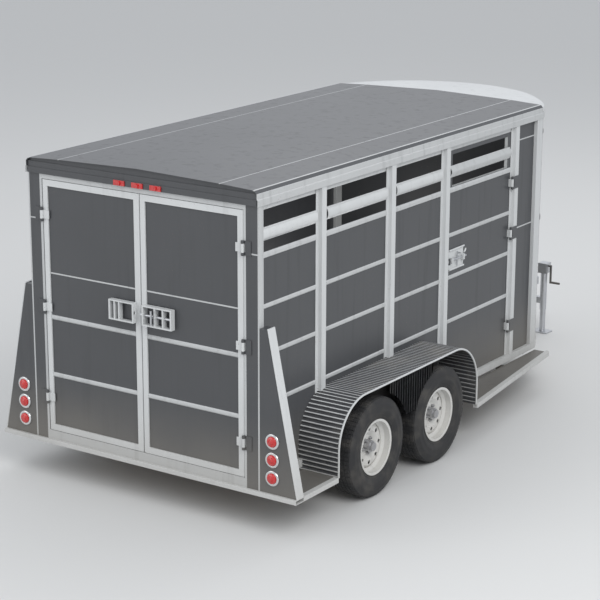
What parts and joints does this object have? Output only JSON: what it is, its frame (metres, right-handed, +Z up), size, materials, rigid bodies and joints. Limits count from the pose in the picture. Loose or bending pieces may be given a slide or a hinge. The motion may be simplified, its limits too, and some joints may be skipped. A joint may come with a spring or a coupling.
{
  "type": "livestock trailer",
  "caption": "Tandem-axle bumper-pull livestock trailer with a slatted steel body, rounded nose, double rear doors, side escape door, fenders, tongue and jack.",
  "frame": {"origin": "on the ground, under the middle of the whole trailer's box", "axes": "+Y forward towards the hitch, +X towards the kerb side (the side with the escape door), +Z up"},
  "size_m": [2.59, 5.94, 2.388],
  "materials": {
    "tyre": "moulded rubber",
    "wheel_white": "white gloss paint",
    "hub_iron": "painted casting",
    "lens_red": "red moulded lens",
    "lamp_chrome": "bright ring",
    "plank": "treated softwood",
    "chassis_black": "black chassis paint",
    "zinc": "zinc plate",
    "crank_black": "black enamel",
    "tread_plate": "raised tread",
    "panel_paint": "charcoal satin paint",
    "frame_paint": "light grey satin paint"
  },
  "bodies": {
    "root": {"frame_rails": "frame_paint", "cross_members": "frame_paint", "rear_bumper": "frame_paint", "running_boards": "tread_plate", "outer_rails": "frame_paint", "tongue_arms": "frame_paint", "coupler": "zinc", "jack_sleeve": "zinc", "floor_planks": "plank", "side_sheets_left": "panel_paint", "side_sheets_right": "panel_paint", "wall_posts_left": "frame_paint", "wall_posts_right": "frame_paint", "vent_slats": "frame_paint", "front_columns": "frame_paint", "nose_wall": "panel_paint", "top_rails": "frame_paint", "roof_bows": "frame_paint", "roof_sheet": "panel_paint", "nose_cap": "frame_paint", "rear_frame": "frame_paint", "rear_fascia": "frame_paint", "door_fittings": "zinc", "tail_wings": "panel_paint", "wing_edges": "frame_paint", "lamp_rings": "lamp_chrome", "lamp_lenses": "lens_red", "clearance_lights": "lens_red", "fender_left": "tread_plate", "fender_right": "tread_plate", "axles": "chassis_black", "leaf_springs": "chassis_black", "spring_hangers": "chassis_black", "spring_fasteners": "zinc"},
    "rear_door_left": {"rear_door_left_frame": "frame_paint", "rear_door_left_panel": "panel_paint", "rear_door_left_keeper": "frame_paint"},
    "rear_door_right": {"rear_door_right_frame": "frame_paint", "rear_door_right_panel": "panel_paint", "rear_latch_case": "frame_paint"},
    "rear_bolt": {"rear_latch_bolt": "zinc"},
    "side_door": {"side_door_frame": "frame_paint", "side_door_panel": "panel_paint", "side_latch_case": "frame_paint"},
    "side_bolt": {"side_latch_bolt": "zinc"},
    "coupler_lever": {"coupler_latch": "zinc"},
    "jack_leg": {"jack_leg": "zinc"},
    "jack_crank": {"jack_crank": "crank_black"},
    "wheel_rear_left": {"tyre_rear_left": "tyre", "rim_rear_left": "wheel_white", "hub_rear_left": "hub_iron"},
    "wheel_rear_right": {"tyre_rear_right": "tyre", "rim_rear_right": "wheel_white", "hub_rear_right": "hub_iron"},
    "wheel_front_left": {"tyre_front_left": "tyre", "rim_front_left": "wheel_white", "hub_front_left": "hub_iron"},
    "wheel_front_right": {"tyre_front_right": "tyre", "rim_front_right": "wheel_white", "hub_front_right": "hub_iron"}
  },
  "joints": [
    {"name": "rear_door_left_hinge", "type": "hinge", "parent": "root", "child": "rear_door_left", "pos_m": [-0.865, -2.917, 1.3], "axis": [0, 0, -1], "range_deg": [0, 165]},
    {"name": "rear_door_right_hinge", "type": "hinge", "parent": "root", "child": "rear_door_right", "pos_m": [0.865, -2.917, 1.3], "axis": [0, 0, 1], "range_deg": [0, 165]},
    {"name": "rear_bolt_slide", "type": "slide", "parent": "rear_door_right", "child": "rear_bolt", "axis": [-1, 0, 0], "range_m": [0, 0.074]},
    {"name": "side_door_hinge", "type": "hinge", "parent": "root", "child": "side_door", "pos_m": [0.987, 0.5555, 1.3], "axis": [0, 0, 1], "range_deg": [0, 165]},
    {"name": "side_bolt_slide", "type": "slide", "parent": "side_door", "child": "side_bolt", "axis": [0, -1, 0], "range_m": [0, 0.036]},
    {"name": "coupler_lever_hinge", "type": "hinge", "parent": "root", "child": "coupler_lever", "pos_m": [0, 2.847, 0.366], "axis": [-1, 0, 0], "range_deg": [0, 75]},
    {"name": "jack_crank_turn", "type": "hinge", "parent": "root", "child": "jack_crank", "pos_m": [0.362, 2.495, 0.625], "axis": [1, 0, 0], "range_deg": [0, 27360]},
    {"name": "jack_leg_lift", "type": "slide", "parent": "root", "child": "jack_leg", "axis": [0, 0, 1], "range_m": [0, 0.19]},
    {"name": "wheel_rear_left_spin", "type": "hinge", "parent": "root", "child": "wheel_rear_left", "pos_m": [-1.1755, -1.874, 0.366], "axis": [1, 0, 0], "continuous": true},
    {"name": "wheel_rear_right_spin", "type": "hinge", "parent": "root", "child": "wheel_rear_right", "pos_m": [1.1755, -1.874, 0.366], "axis": [1, 0, 0], "continuous": true},
    {"name": "wheel_front_left_spin", "type": "hinge", "parent": "root", "child": "wheel_front_left", "pos_m": [-1.1755, -1.006, 0.366], "axis": [1, 0, 0], "continuous": true},
    {"name": "wheel_front_right_spin", "type": "hinge", "parent": "root", "child": "wheel_front_right", "pos_m": [1.1755, -1.006, 0.366], "axis": [1, 0, 0], "continuous": true}
  ],
  "couplings": [
    {"joint": "jack_leg_lift", "follows": "jack_crank_turn", "m_per_rad": 0.000397}
  ]
}
